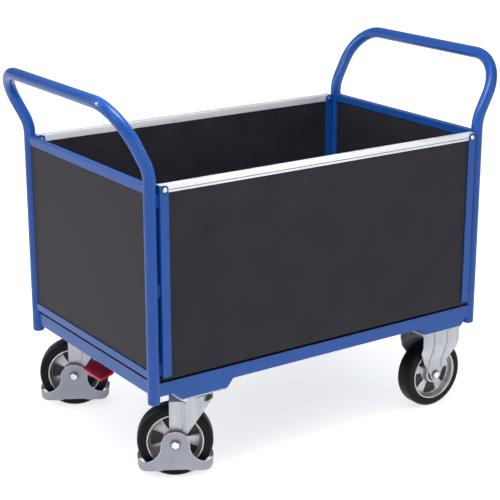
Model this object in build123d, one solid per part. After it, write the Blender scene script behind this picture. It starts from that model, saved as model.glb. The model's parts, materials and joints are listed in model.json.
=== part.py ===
from build123d import *
import math
import os

# Four-wall platform trolley. X runs along its length, Y across it, Z up from the floor.
# Left is -X, right is +X, front is -Y and rear is +Y. All sizes are in millimetres.

# ---- end frames: one bent round tube at each end ----
post_spacing_x = 1058.0     # post centre to post centre along the length
post_spacing_y = 644.0      # post centre to post centre across
tube_dia = 32.0
tube_wall = 2.0
handle_reach = 84.0         # how far the grip bar stands outside the posts
handle_rise = 197.0         # grip bar centre above the top of the walls
kink_rise = 34.0            # where the post turns outward, above the top of the walls
kink_radius = 110.0
grip_corner_radius = 108.0
plug_flange = 6.0
plug_stem = 16.0
plug_dome_radius = 5.0

# ---- platform ----
rail_width = 20.0
rail_height = 35.0
rail_wall = 2.0
rail_set_in_y = 13.0        # rail outer face outside the post centre, long sides
rail_set_in_x = 4.0         # rail outer face outside the post centre, short ends
flange_depth = 22.0         # castor beam below the rails
deck_thickness = 15.0
beam_width = 138.0
beam_wall = 4.0
beam_chamfer = 18.0         # how far each end flange widens towards the rail

# ---- walls ----
wall_height = 510.0         # deck top to the top of the cap rails
side_board = 18.0
side_board_gap = 8.0        # daylight under the long walls
side_wall_outset = 5.0      # long wall's mid-plane outside the post centres
channel_bottom_gap = 15.0
channel_depth = 24.0
channel_wall = 1.8
channel_post_gap = 3.2
channel_tip_radius = 11.0
tab_height = 32.0
tab_thickness = 8.0
tab_rises = (20.0, 226.0, 456.0)    # tab bottoms above the deck
cap_height = 19.0
cap_wall = 1.2
cap_bolt_dia = 6.0
cap_bolt_drop = 11.0
cap_bolt_inset = 13.0       # from the channel's back to the bolt
cap_head_dia = 13.2
cap_head_height = 3.6
cap_head_round = 3.2
cap_nut_af = 10.0
cap_nut_height = 5.0
thread_end = 2.0            # every bolt's thread standing past its nut
end_board = 15.0
end_board_gap = 3.0
crossbar_size = 20.0
crossbar_wall = 2.0
crossbar_bottom_gap = 11.0  # daylight between the end rail and the lower crossbar

# ---- castors ----
wheel_dia = 200.0
tyre_width = 50.0
tyre_shoulder = 10.0
castor_head = 43.0          # top of the tyre to the top of the castor plate
castor_left_set_in = 144.0  # post centres to the kingpins, along the length
castor_right_set_in = 107.0 # post centres to the fixed axles
castor_set_in_y = 55.0      # side rail's outer face to the castors' line
plate_length = 140.0
plate_width = 110.0
plate_thickness = 4.0
plate_corner = 8.0
hole_pitch_x = 105.0
hole_pitch_y = 80.0
plate_bolt_dia = 10.0
plate_hole_dia = 11.0
bolt_head_af = 17.0
bolt_head_height = 6.4
nut_height = 8.0
leg_thickness = 3.0
tyre_side_gap = 3.0
leg_end_radius = 18.0
axle_dia = 12.0
axle_head_af = 19.0
axle_head_height = 7.5
axle_nut_height = 9.0
trail = 50.0
swivel_rest_angle = -31.0   # how the two swivel castors stand at rest, about Z
kingpin_dia = 20.0
kingpin_head_dia = 30.0
kingpin_head_height = 4.7
crown_thickness = 6.0
crown_rise = 8.0            # top of the tyre to the underside of the fork crown
lower_race_dia = 80.0
upper_race_dia = 70.0
race_gap = 0.6
race_split = 0.6            # lower race's share of the height between crown and plate
fork_back = 15.0            # fork's straight rear edge behind the axle
fork_front = 99.0           # fork's front corner ahead of the axle
fork_boss_radius = 16.0
fork_waist = 34.0           # front edge of the leg ahead of the axle, where it narrows
fork_waist_rise = 26.0
fork_lip_rise = 11.0        # front of the crown turned up
fork_lip_run = 13.0
fork_rib_radius = 3.0
fork_rib_front = 22.0
fork_rib_rise = 30.0
bracket_half_length = 66.0
bracket_half_width = 52.0   # outer faces of the legs where they leave the plate
bracket_shoulder_drop = 39.0    # plate to where the legs start to slope inward
bracket_taper_drop = 60.0   # plate to where the legs start to narrow
bracket_knee_rise = 40.0    # axle to where the legs run straight again
bracket_rib_pitch = 47.0
bracket_rib_width = 6.0
bracket_rib_height = 2.0

# ---- wheels ----
rim_dia = 146.0
rim_wall = 7.0
rim_inset = 3.0             # rim's edge inside the side of the tyre
rim_lip_dia = 150.0
rim_lip_width = 1.6
hub_dia = 54.0
hub_leg_gap = 3.0           # hub's end to the castor leg
web_thickness = 12.0
spoke_count = 5
spoke_angle = 30.0          # each spoke's share of the turn at the rim
swivel_spoke_phase = -5.0
fixed_spoke_phase = 18.0
window_inset = 2.0          # hub to the foot of the windows
window_corner = 3.0
bearing_dia = 40.0
bearing_width = 12.0
bearing_sleeve_dia = 20.0

# ---- foot guards on the swivel castors ----
guard_overhang = 0.0        # guard's ends beyond the tyre
guard_leg_gap = 11.0        # castor leg to the guard's inner side
guard_wall = 3.0
guard_bottom = 25.0
guard_skirt_top = 52.0
guard_lobe_radius = 37.0
guard_lobe_drop = 3.0       # lobe centre below the axle
guard_bite_radius = 44.0
guard_bite_drop = 6.0       # bite centre below the axle
guard_plan_corner = 32.0
guard_foot_radius = 14.0
guard_boss_dia = 26.0
guard_notch_length = 74.0
guard_notch_height = 3.0
guard_notch_slope = 6.0
guard_overlap = 8.0         # lobe's pillar sunk into the skirt

# ---- central brake ----
brake_finger = 15.5         # brake shaft to kingpin axis
brake_shaft_dia = 12.0
brake_shaft_rise = 14.0     # shaft axis above the castor plates
brake_finger_nose = 4.0
brake_finger_boss = 9.0
brake_finger_width = 10.0
brake_shaft_overhang = 8.0
brake_bracket_set_in = 75.0 # castors' line to the shaft bracket
brake_bracket_width = 6.0
brake_bracket_length = 30.0
brake_bracket_top = 10.0
plunger_dia = 12.0
plunger_travel = 4.0
shoe_dia = 16.0
shoe_thickness = 4.9
arm_length = 162.0
arm_height = 12.0
arm_top = 7.0               # top of the arm above the shaft axis
arm_width = 10.0
arm_boss_radius = 9.0
arm_boss_width = 16.0
arm_rest_slope = 18.0       # pedal arm's fall outward from level
arm_slot_side = 4.0
arm_slot_end = 3.0          # slot stops this far short of the shaft axis
arm_slot_top = 14.0
pedal_start = 124.0
pedal_length = 46.0
pedal_width = 100.0
pedal_thickness = 8.0
pedal_corner = 5.0
pedal_rib_height = 1.2
pedal_rib_width = 3.0
pedal_rib_count = 6
pedal_rib_margin = 6.0

# ---- clearances ----
weld_fit = 0.05             # coped tube ends, same body
board_fit = 0.2             # boards in their profiles
running_fit = 0.1           # radial, shaft in bore
bolt_fit = 0.2              # radial, bolt in a plain hole in the walls
side_fit = 0.3              # faces of moving parts
seat_fit = 0.05             # pressed and clamped parts of one body

# ---- places worked out from the sizes above ----
post_x = post_spacing_x / 2
post_y = post_spacing_y / 2
tube_r = tube_dia / 2
axle_z = wheel_dia / 2
castor_top = wheel_dia + castor_head
rail_bottom = castor_top + flange_depth
deck_top = rail_bottom + rail_height
deck_bottom = deck_top - deck_thickness
wall_top = deck_top + wall_height
handle_z = wall_top + handle_rise
kink_z = wall_top + kink_rise
plug_bottom = castor_top
tube_bottom = plug_bottom + plug_flange
rail_y = post_y + rail_set_in_y
rail_x = post_x + rail_set_in_x
castor_left_x = post_x - castor_left_set_in
castor_right_x = post_x - castor_right_set_in
castor_y = rail_y - castor_set_in_y
brake_bracket_y = castor_y - brake_bracket_set_in
side_wall_y = post_y + side_wall_outset
cap_inner = side_board / 2 + board_fit
cap_outer = cap_inner + cap_wall
channel_inner = cap_outer + board_fit
channel_outer = channel_inner + channel_wall
channel_back = post_x - tube_r - channel_post_gap
channel_web = channel_back - channel_wall
channel_mouth = channel_back - channel_depth
cap_end = channel_web - board_fit
cap_bolt_x = channel_back - cap_bolt_inset
cap_bolt_z = wall_top - cap_bolt_drop
leg_inner = tyre_width / 2 + tyre_side_gap
leg_outer = leg_inner + leg_thickness
rim_width = tyre_width - 2 * rim_inset
hub_length = 2 * (leg_inner - hub_leg_gap)
guard_length = wheel_dia + 2 * guard_overhang
guard_width = 2 * (leg_outer + guard_leg_gap + guard_wall)
plate_bottom = castor_top - plate_thickness
crown_bottom = wheel_dia + crown_rise
crown_top = crown_bottom + crown_thickness
shaft_x = brake_finger - castor_left_x
shaft_z = castor_top + brake_shaft_rise
plunger_top = shaft_z - brake_finger_nose - side_fit
shoe_edge = trail - shoe_dia / 2
tyre_under_shoe = axle_z + math.sqrt((wheel_dia / 2) ** 2 - shoe_edge ** 2)
shoe_bottom = tyre_under_shoe + side_fit + plunger_travel
guard_half = guard_width / 2


def block(x0, x1, y0, y1, z0, z1):
    # box between two opposite corners
    return Pos((x0 + x1) / 2, (y0 + y1) / 2, (z0 + z1) / 2) * Box(abs(x1 - x0), abs(y1 - y0), abs(z1 - z0))


def rod_z(x, y, z0, z1, radius):
    return Pos(x, y, (z0 + z1) / 2) * Cylinder(radius, z1 - z0)


def rod_y(x, z, y0, y1, radius):
    return Pos(x, (y0 + y1) / 2, z) * Rot(90, 0, 0) * Cylinder(radius, y1 - y0)


def hex_z(x, y, z0, z1, across_flats):
    # hexagon with two flats facing front and rear
    outline = RegularPolygon(across_flats / 2, 6, major_radius=False)
    return Pos(x, y, z0) * extrude(outline, z1 - z0)


def hex_y(x, z, y0, y1, across_flats):
    outline = RegularPolygon(across_flats / 2, 6, major_radius=False)
    return Pos(x, y1, z) * Rot(90, 0, 0) * extrude(outline, y1 - y0)


def outline_xz(points):
    return make_face(Polyline(*points, close=True))


def side_plate(face, y0, y1):
    # a face drawn in X and Z, made solid from y0 to y1
    return Pos(0, y1, 0) * extrude(Plane.XZ * face, y1 - y0)


def save(node, shapes):
    # one file for each node; several solids stay separate inside it
    solids = [solid for shape in shapes for solid in shape.solids()]
    whole = solids[0] if len(solids) == 1 else Compound(solids)
    export_step(whole, "parts/" + node + ".step")


def posts_cut(clearance):
    # what is taken out of rails, boards and crossbars round the four posts
    reach = (plug_bottom - 1, kink_z)
    return [rod_z(sx * post_x, sy * post_y, *reach, tube_r + clearance)
            for sx in (-1, 1) for sy in (-1, 1)]


def less(body, tools):
    for tool in tools:
        body = body - tool
    return body


# ---- end frames ----

def handle_tube(side):
    foot = side * post_x
    grip = side * (post_x + handle_reach)
    route = [(foot, -post_y, tube_bottom), (foot, -post_y, kink_z), (grip, -post_y, handle_z),
             (grip, post_y, handle_z), (foot, post_y, kink_z), (foot, post_y, tube_bottom)]
    radii = [kink_radius, grip_corner_radius, grip_corner_radius, kink_radius]
    path = FilletPolyline(*route, radius=radii)
    ring = Circle(tube_r) - Circle(tube_r - tube_wall)
    return sweep(Pos(*route[0]) * ring, path=path)


def post_plug(sx, sy):
    flange = rod_z(0, 0, plug_bottom, tube_bottom, tube_r)
    flange = fillet(flange.edges().group_by(Axis.Z)[0], plug_dome_radius)
    stem = rod_z(0, 0, tube_bottom, tube_bottom + plug_stem, tube_r - tube_wall - seat_fit)
    return Pos(sx * post_x, sy * post_y, 0) * (flange + stem)


def crossbar(side, z0, opening_up):
    half = crossbar_size / 2
    bar = block(-half, half, -post_y, post_y, z0, z0 + crossbar_size)
    inner = half - crossbar_wall
    low = z0 + crossbar_wall if opening_up else z0 - 1
    high = z0 + crossbar_size + 1 if opening_up else z0 + crossbar_size - crossbar_wall
    bar = bar - block(-inner, inner, -post_y, post_y, low, high)
    return less(Pos(side * post_x, 0, 0) * bar, posts_cut(weld_fit))


crossbar_low = deck_top + crossbar_bottom_gap
crossbar_high = wall_top - crossbar_size


def end_panel(side):
    half_width = post_y - tube_r - end_board_gap
    bottom = crossbar_low + crossbar_wall + board_fit
    top = wall_top - crossbar_wall - board_fit
    board = block(-end_board / 2, end_board / 2, -half_width, half_width, bottom, top)
    return Pos(side * post_x, 0, 0) * board


# ---- long walls ----

def cap_bolt_cut(sx, sy):
    reach = channel_outer + 1
    y = sy * side_wall_y
    return rod_y(sx * cap_bolt_x, cap_bolt_z, y - reach, y + reach, cap_bolt_dia / 2 + bolt_fit)


def side_panel(sy):
    y = sy * side_wall_y
    bottom = deck_top + side_board_gap
    top = wall_top - cap_wall - board_fit
    board = block(-cap_end, cap_end, y - side_board / 2, y + side_board / 2, bottom, top)
    return less(board, [cap_bolt_cut(-1, sy), cap_bolt_cut(1, sy)])


def cap_rail(sy):
    y = sy * side_wall_y
    rail = block(-cap_end, cap_end, y - cap_outer, y + cap_outer, wall_top - cap_height, wall_top)
    rail = rail - block(-cap_end, cap_end, y - cap_inner, y + cap_inner,
                        wall_top - cap_height - 1, wall_top - cap_wall)
    return less(rail, [cap_bolt_cut(-1, sy), cap_bolt_cut(1, sy)])


def side_channel(sx, sy):
    y = sy * side_wall_y
    bottom = deck_top + channel_bottom_gap
    body = block(channel_mouth, channel_back, y - channel_outer, y + channel_outer, bottom, wall_top)
    tip = body.edges().filter_by(Axis.Y).group_by(Axis.Z)[-1].sort_by(Axis.X)[0]
    body = fillet(tip, channel_tip_radius)
    body = body - block(channel_mouth - 1, channel_web, y - channel_inner, y + channel_inner,
                        bottom - 1, wall_top + 1)
    if sx < 0:
        body = mirror(body, Plane.YZ)
    return body - cap_bolt_cut(sx, sy)


def channel_tabs():
    tabs = []
    for sx in (-1, 1):
        for sy in (-1, 1):
            for rise in tab_rises:
                low = deck_top + rise
                y = sy * side_wall_y
                tab = block(sx * channel_back, sx * post_x, y - tab_thickness / 2,
                            y + tab_thickness / 2, low, low + tab_height)
                tabs.append(less(tab, posts_cut(weld_fit)))
    return tabs


def cap_bolt(sx, sy):
    # dome head outside, plain nut inside
    face = side_wall_y + channel_outer
    back = side_wall_y - channel_outer
    shank = rod_y(0, 0, -face, -back + cap_nut_height + thread_end, cap_bolt_dia / 2)
    head = rod_y(0, 0, -face - cap_head_height, -face, cap_head_dia / 2)
    head = fillet(head.edges().group_by(Axis.Y)[0], cap_head_round)
    nut = hex_y(0, 0, -back, -back + cap_nut_height, cap_nut_af)
    nut = nut - rod_y(0, 0, -face, 0, cap_bolt_dia / 2 + seat_fit)
    pieces = [shank + head, nut]
    if sy > 0:
        pieces = [mirror(piece, Plane.XZ) for piece in pieces]
    return [Pos(sx * cap_bolt_x, 0, cap_bolt_z) * piece for piece in pieces]


# ---- platform ----

def hollow_rail(x0, x1, y0, y1, along_x):
    rail = block(x0, x1, y0, y1, rail_bottom, deck_top)
    inset_x = 0 if along_x else rail_wall
    inset_y = rail_wall if along_x else 0
    rail = rail - block(x0 + inset_x, x1 - inset_x, y0 + inset_y, y1 - inset_y,
                        rail_bottom + rail_wall, deck_top - rail_wall)
    return less(rail, posts_cut(weld_fit))


def side_rail(sy):
    inner, outer = rail_y - rail_width, rail_y
    low, high = (inner, outer) if sy > 0 else (-outer, -inner)
    return hollow_rail(-post_x, post_x, low, high, True)


def end_rail(sx):
    inner, outer = rail_x - rail_width, rail_x
    low, high = (inner, outer) if sx > 0 else (-outer, -inner)
    half = rail_y - rail_width - seat_fit
    return hollow_rail(low, high, -half, half, False)


def deck_board():
    half_x = rail_x - rail_width - board_fit
    half_y = rail_y - rail_width - board_fit
    board = block(-half_x, half_x, -half_y, half_y, deck_bottom, deck_top)
    return less(board, posts_cut(board_fit))


def plate_holes(dia, z0, z1):
    return [rod_z(sx * hole_pitch_x / 2, sy * hole_pitch_y / 2, z0, z1, dia / 2)
            for sx in (-1, 1) for sy in (-1, 1)]


def castor_beam(x, swivel):
    half = beam_width / 2
    inner_y = rail_y - rail_width
    pan = block(-half, half, -inner_y, inner_y, castor_top, deck_bottom)
    pan = pan + block(-half, half, -rail_y, rail_y, castor_top, rail_bottom)
    hollow_y = rail_y - beam_wall
    pan = pan - block(-half + beam_wall, half - beam_wall, -hollow_y, hollow_y,
                      castor_top + beam_wall, deck_bottom + 1)
    wide = half + beam_chamfer
    flange = outline_xz([(-half, castor_top), (half, castor_top),
                         (wide, rail_bottom), (-wide, rail_bottom)])
    pan = pan + side_plate(flange, -rail_y, -hollow_y) + side_plate(flange, hollow_y, rail_y)
    through = (castor_top - 1, castor_top + beam_wall + 1)
    for sy in (-1, 1):
        spot = Pos(0, sy * castor_y, 0)
        pan = less(pan, [spot * hole for hole in plate_holes(plate_hole_dia, *through)])
        if swivel:
            pan = pan - spot * rod_z(0, 0, *through, kingpin_dia / 2)
    if swivel:
        side = arm_width / 2 + arm_slot_side
        pan = pan - block(-half - 1, brake_finger - arm_slot_end, -side, side,
                          castor_top - 1, castor_top + beam_wall + arm_slot_top)
    return Pos(x, 0, 0) * pan


def castor_spots():
    return [(sx, sy, -castor_left_x if sx < 0 else castor_right_x, sy * castor_y)
            for sx in (-1, 1) for sy in (-1, 1)]


def plate_bolts():
    bolts = []
    top = castor_top + beam_wall + nut_height + thread_end
    for sx, sy, x, y in castor_spots():
        for dx in (-1, 1):
            for dy in (-1, 1):
                spot = (x + dx * hole_pitch_x / 2, y + dy * hole_pitch_y / 2)
                head = hex_z(*spot, plate_bottom - bolt_head_height, plate_bottom, bolt_head_af)
                bolts.append(head + rod_z(*spot, plate_bottom, top, plate_bolt_dia / 2))
    return bolts


def plate_nuts():
    nuts = []
    base = castor_top + beam_wall
    for sx, sy, x, y in castor_spots():
        for dx in (-1, 1):
            for dy in (-1, 1):
                spot = (x + dx * hole_pitch_x / 2, y + dy * hole_pitch_y / 2)
                bore = rod_z(*spot, base - 1, base + nut_height + 1, plate_bolt_dia / 2 + seat_fit)
                nuts.append(hex_z(*spot, base, base + nut_height, bolt_head_af) - bore)
    return nuts


# ---- castors, each drawn round its own axle: X towards the kingpin, Y along the axle ----

def flat_plate():
    plate = block(-plate_length / 2, plate_length / 2, -plate_width / 2, plate_width / 2,
                  plate_bottom, castor_top)
    plate = fillet(plate.edges().filter_by(Axis.Z), plate_corner)
    return less(plate, plate_holes(plate_hole_dia, plate_bottom - 1, castor_top + 1))


def swivel_top_plate():
    # plate, upper race and the hollow kingpin with its riveted head
    race_bottom = crown_top + (plate_bottom - crown_top) * race_split + race_gap / 2
    body = flat_plate() + rod_z(0, 0, race_bottom, plate_bottom, upper_race_dia / 2)
    head_top = crown_bottom - side_fit
    head_bottom = head_top - kingpin_head_height
    body = body + rod_z(0, 0, head_bottom, castor_top, kingpin_dia / 2)
    body = body + rod_z(0, 0, head_bottom, head_top, kingpin_head_dia / 2)
    return body - rod_z(0, 0, head_bottom - 1, castor_top + 1, plunger_dia / 2 + running_fit)


def swivel_fork():
    race_top = crown_top + (plate_bottom - crown_top) * race_split - race_gap / 2
    crown = block(-fork_back, fork_front - fork_lip_run, -leg_outer, leg_outer, crown_bottom, crown_top)
    race = rod_z(trail, 0, crown_bottom, race_top, lower_race_dia / 2)
    lip_start = fork_front - fork_lip_run
    lip_top = crown_top + fork_lip_rise
    lip_tip = lip_top - leg_thickness
    lip = outline_xz([(lip_start, crown_bottom), (fork_front, lip_tip), (fork_front, lip_top),
                      (lip_start, crown_top)])
    leg = outline_xz([(-fork_back, axle_z), (-fork_back, crown_top), (lip_start, crown_top),
                      (fork_front, lip_top), (fork_front, lip_tip),
                      (fork_waist, axle_z + fork_waist_rise), (fork_boss_radius, axle_z)])
    leg = leg + Pos(0, axle_z) * Circle(fork_boss_radius)
    fork = crown + race + side_plate(lip, -leg_outer, leg_outer)
    fork = fork + side_plate(leg, -leg_outer, -leg_inner) + side_plate(leg, leg_inner, leg_outer)
    for sy in (-1, 1):
        rib = rod_z(fork_rib_front, sy * leg_outer, axle_z + fork_rib_rise, crown_top, fork_rib_radius)
        fork = fork + (rib - block(0, fork_front, -leg_inner, leg_inner, axle_z, crown_top + 1))
    fork = fork - rod_z(trail, 0, crown_bottom - 1, race_top + 1, kingpin_dia / 2 + running_fit)
    return fork - rod_y(0, axle_z, -leg_outer - 1, leg_outer + 1, axle_dia / 2 + seat_fit)


def bracket_legs(x0, x1, proud):
    # both legs between two X positions: wide under the plate, sloping in to run close beside the wheel
    shoulder = plate_bottom - bracket_shoulder_drop
    knee = axle_z + bracket_knee_rise
    low = axle_z - leg_end_radius
    outer, inner = bracket_half_width + proud, bracket_half_width - leg_thickness
    profile = Polyline((outer, plate_bottom), (outer, shoulder), (leg_outer + proud, knee),
                       (leg_outer + proud, low), (leg_inner, low), (leg_inner, knee),
                       (inner, shoulder), (inner, plate_bottom), close=True)
    leg = Pos(x0, 0, 0) * extrude(Plane.YZ * make_face(profile), x1 - x0)
    return leg + mirror(leg, Plane.XZ)


def fixed_bracket():
    half = bracket_half_length
    taper = plate_bottom - bracket_taper_drop
    outline = outline_xz([(-half, plate_bottom), (half, plate_bottom), (half, taper),
                          (leg_end_radius, axle_z), (-leg_end_radius, axle_z), (-half, taper)])
    outline = outline + Pos(0, axle_z) * Circle(leg_end_radius)
    legs = bracket_legs(-half, half, 0)
    for side in (-1, 1):
        start = side * bracket_rib_pitch / 2 - bracket_rib_width / 2
        ridge = bracket_legs(start, start + bracket_rib_width, bracket_rib_height)
        legs = legs + (ridge - block(-half, half, -plate_width, plate_width, 0, axle_z + leg_end_radius))
    legs = legs & side_plate(outline, -plate_width, plate_width)
    body = flat_plate() + legs
    return body - rod_y(0, axle_z, -leg_outer - 1, leg_outer + 1, axle_dia / 2 + seat_fit)


def axle_bolt(face):
    # hexagon head on the front side, thread on the rear
    head = hex_y(0, axle_z, -face - axle_head_height, -face, axle_head_af)
    return head + rod_y(0, axle_z, -face, face + axle_nut_height + thread_end, axle_dia / 2)


def axle_nut(face):
    nut = hex_y(0, axle_z, face, face + axle_nut_height, axle_head_af)
    return nut - rod_y(0, axle_z, face - 1, face + axle_nut_height + 1, axle_dia / 2 + seat_fit)


def tyre():
    body = rod_y(0, axle_z, -tyre_width / 2, tyre_width / 2, wheel_dia / 2)
    body = fillet(body.edges().filter_by(GeomType.CIRCLE), tyre_shoulder)
    return body - rod_y(0, axle_z, -tyre_width, tyre_width, rim_dia / 2 + seat_fit)


def rim(phase):
    ring = rod_y(0, axle_z, -rim_width / 2, rim_width / 2, rim_dia / 2)
    ring = ring - rod_y(0, axle_z, -rim_width, rim_width, rim_dia / 2 - rim_wall)
    lip_in = tyre_width / 2
    lip = rod_y(0, axle_z, lip_in, lip_in + rim_lip_width, rim_lip_dia / 2)
    lip = lip + rod_y(0, axle_z, rim_width / 2, lip_in, rim_dia / 2)
    lip = lip - rod_y(0, axle_z, 0, tyre_width, rim_dia / 2 - rim_wall)
    hub = rod_y(0, axle_z, -hub_length / 2, hub_length / 2, hub_dia / 2)
    web = rod_y(0, axle_z, -web_thickness / 2, web_thickness / 2, rim_dia / 2 - rim_wall / 2)
    window_outer = rim_dia / 2 - rim_wall
    window_inner = hub_dia / 2 + window_inset
    half_turn = math.radians((360 / spoke_count - spoke_angle) / 2)
    reach = 2 * window_outer
    corner = (reach * math.cos(half_turn), reach * math.sin(half_turn))
    wedge = outline_xz([(0, 0), corner, (corner[0], -corner[1])])
    window = (Circle(window_outer) - Circle(window_inner)) & wedge
    window = fillet(window.vertices(), window_corner)
    for k in range(spoke_count):
        turn = phase + (k + 0.5) * 360 / spoke_count
        cut = Plane.XZ * (Rot(0, 0, turn) * window)
        web = web - Pos(0, web_thickness, axle_z) * extrude(cut, 2 * web_thickness)
    body = ring + lip + mirror(lip, Plane.XZ) + web + hub
    for side in (-1, 1):
        seat = hub_length / 2 - bearing_width
        low, high = (seat, hub_length) if side > 0 else (-hub_length, -seat)
        body = body - rod_y(0, axle_z, low, high, bearing_dia / 2 + seat_fit)
    return body - rod_y(0, axle_z, -hub_length, hub_length, bearing_sleeve_dia / 2 + seat_fit)


def bearings():
    # two ball bearings with the sleeve between them, as one pressed-in set
    sleeve_half = leg_inner - side_fit
    body = rod_y(0, axle_z, -sleeve_half, sleeve_half, bearing_sleeve_dia / 2)
    for side in (-1, 1):
        outer = side * hub_length / 2
        inner = side * (hub_length / 2 - bearing_width)
        body = body + rod_y(0, axle_z, min(outer, inner), max(outer, inner), bearing_dia / 2)
    return body - rod_y(0, axle_z, -hub_length, hub_length, axle_dia / 2 + running_fit)


def foot_guard():
    # plastic skirt round the foot of the wheel, hung on the axle by a lobe on each side
    half = guard_length / 2
    outline = outline_xz([(-half, guard_bottom), (half, guard_bottom),
                          (half, guard_skirt_top), (-half, guard_skirt_top)])
    outline = fillet(outline.vertices().group_by(Axis.Y)[0], guard_foot_radius)
    lobe_z = axle_z - guard_lobe_drop
    lobe = Pos(0, lobe_z) * Circle(guard_lobe_radius)
    bite_z = axle_z - guard_bite_drop
    bite_x = math.sqrt((guard_lobe_radius + guard_bite_radius) ** 2 - (lobe_z - bite_z) ** 2)
    pillar_foot = guard_skirt_top - guard_overlap
    pillar = outline_xz([(-bite_x, pillar_foot), (bite_x, pillar_foot), (bite_x, bite_z),
                         (0, lobe_z), (-bite_x, bite_z)])
    face = outline + lobe + pillar
    for side in (-1, 1):
        face = face - Pos(side * bite_x, bite_z) * Circle(guard_bite_radius)
    notch_half = guard_notch_length / 2
    notch_top = guard_bottom + guard_notch_height
    notch_in = notch_half - guard_notch_slope
    notch = outline_xz([(-notch_half, guard_bottom - 1), (notch_half, guard_bottom - 1),
                        (notch_in, notch_top), (-notch_in, notch_top)])
    body = side_plate(face - notch, -guard_half, guard_half)
    plan = extrude(RectangleRounded(guard_length, guard_width, guard_plan_corner), wheel_dia)
    hollow = extrude(RectangleRounded(guard_length - 2 * guard_wall, guard_width - 2 * guard_wall,
                                      guard_plan_corner - guard_wall), wheel_dia)
    body = (body & plan) - hollow
    for side in (-1, 1):
        near = side * (leg_outer + side_fit)
        far = side * (guard_half - guard_wall / 2)
        body = body + rod_y(0, axle_z, min(near, far), max(near, far), guard_boss_dia / 2)
    return body - rod_y(0, axle_z, -guard_half - 1, guard_half + 1, axle_dia / 2 + seat_fit)


def swivel_place(sy):
    # castor drawing moved to its kingpin and turned to its rest angle
    return Pos(-castor_left_x, sy * castor_y, 0) * Rot(0, 0, swivel_rest_angle) * Pos(-trail, 0, 0)


def fixed_place(sy):
    return Pos(castor_right_x, sy * castor_y, 0)


# ---- central brake ----

def brake_shaft():
    half = castor_y + brake_shaft_overhang
    body = rod_y(shaft_x, shaft_z, -half, half, brake_shaft_dia / 2)
    nose_x = shaft_x - brake_finger
    low, high = shaft_z - brake_finger_nose, shaft_z + brake_finger_nose
    finger = outline_xz([(shaft_x, low), (nose_x, low), (nose_x, high), (shaft_x, high)])
    finger = finger + Pos(shaft_x, shaft_z) * Circle(brake_finger_boss)
    finger = finger + Pos(nose_x, shaft_z) * Circle(brake_finger_nose)
    for sy in (-1, 1):
        y = sy * castor_y
        body = body + side_plate(finger, y - brake_finger_width / 2, y + brake_finger_width / 2)
    return body


def brake_brackets():
    pieces = []
    base = castor_top + beam_wall
    for sy in (-1, 1):
        y = sy * brake_bracket_y
        half = brake_bracket_width / 2
        ear = block(shaft_x - brake_bracket_length / 2, shaft_x + brake_bracket_length / 2,
                    y - half, y + half, base, shaft_z + brake_bracket_top)
        bore = rod_y(shaft_x, shaft_z, y - half - 1, y + half + 1, brake_shaft_dia / 2 + running_fit)
        pieces.append(ear - bore)
    return pieces


def arm_place():
    return Pos(shaft_x, 0, shaft_z) * Rot(0, -arm_rest_slope, 0)


def brake_arm():
    bar = block(-arm_length, 0, -arm_width / 2, arm_width / 2, arm_top - arm_height, arm_top)
    boss = rod_y(0, 0, -arm_boss_width / 2, arm_boss_width / 2, arm_boss_radius)
    bore = rod_y(0, 0, -arm_boss_width, arm_boss_width, brake_shaft_dia / 2 + seat_fit)
    return arm_place() * (bar + boss - bore)


def brake_pedal():
    start, stop = -pedal_start - pedal_length, -pedal_start
    pad_top = arm_top + pedal_thickness
    pad = block(start, stop, -pedal_width / 2, pedal_width / 2, arm_top, pad_top)
    pad = fillet(pad.edges().filter_by(Axis.Z), pedal_corner)
    span = pedal_length - 2 * pedal_rib_margin
    for k in range(pedal_rib_count):
        x = start + pedal_rib_margin + span * k / (pedal_rib_count - 1)
        pad = pad + block(x - pedal_rib_width / 2, x + pedal_rib_width / 2,
                          pedal_rib_margin - pedal_width / 2, pedal_width / 2 - pedal_rib_margin,
                          pad_top - 1, pad_top + pedal_rib_height)
    return arm_place() * pad


def brake_plunger(sy):
    rod = rod_z(0, 0, shoe_bottom, plunger_top, plunger_dia / 2)
    shoe = rod_z(0, 0, shoe_bottom, shoe_bottom + shoe_thickness, shoe_dia / 2)
    return Pos(-castor_left_x, sy * castor_y, 0) * (rod + shoe)


# ---- write every node ----
os.makedirs("parts", exist_ok=True)

for end, sx in (("left", -1), ("right", 1)):
    save(end + "_handle_tube", [handle_tube(sx)])
    save(end + "_top_crossbar", [crossbar(sx, crossbar_high, False)])
    save(end + "_bottom_crossbar", [crossbar(sx, crossbar_low, True)])
    save(end + "_end_panel", [end_panel(sx)])
    save(end + "_end_rail", [end_rail(sx)])
    for face, sy in (("front", -1), ("rear", 1)):
        save(end + "_" + face + "_channel", [side_channel(sx, sy)])
save("left_castor_beam", [castor_beam(-castor_left_x, True)])
save("right_castor_beam", [castor_beam(castor_right_x, False)])

for face, sy in (("front", -1), ("rear", 1)):
    save(face + "_side_panel", [side_panel(sy)])
    save(face + "_cap_rail", [cap_rail(sy)])
    save(face + "_side_rail", [side_rail(sy)])

corners = [(sx, sy) for sx in (-1, 1) for sy in (-1, 1)]
save("channel_tabs", channel_tabs())
save("cap_rail_bolts", [piece for sx, sy in corners for piece in cap_bolt(sx, sy)])
save("post_plugs", [post_plug(sx, sy) for sx, sy in corners])
save("deck_board", [deck_board()])
save("castor_plate_bolts", plate_bolts())
save("castor_plate_nuts", plate_nuts())

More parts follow.
